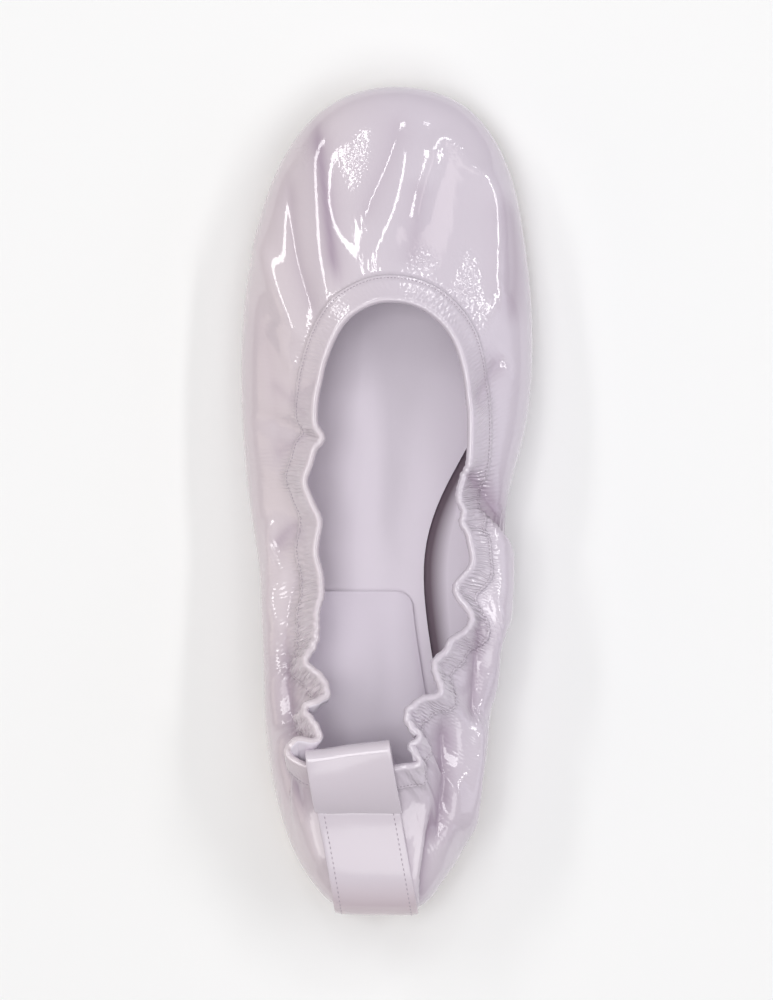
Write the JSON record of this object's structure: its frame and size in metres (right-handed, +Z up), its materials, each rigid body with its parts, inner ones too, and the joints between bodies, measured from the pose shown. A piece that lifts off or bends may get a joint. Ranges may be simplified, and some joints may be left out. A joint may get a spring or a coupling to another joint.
{
  "type": "ballet_flat",
  "caption": "Ballet flat for the left foot in gathered lilac patent leather, with an elastic collar, a pull loop at the heel and a thin sole with a low heel",
  "frame": {"origin": "middle of the shoe's plan, on the floor that its sole rests on", "axes": "+Y towards the toe, +X towards the inner side of the left foot, +Z up"},
  "size_m": [0.0875, 0.248, 0.0511],
  "materials": {
    "patent": "gloss",
    "strap": "gloss",
    "lining": "satin",
    "pad": "satin",
    "sole": "matte"
  },
  "bodies": {
    "root": {"upper": "patent", "outsole": "sole", "heel": "sole", "insole": "lining", "heel_pad": "pad", "heel_strip": "strap", "pull_loop": "strap"}
  },
  "joints": []
}
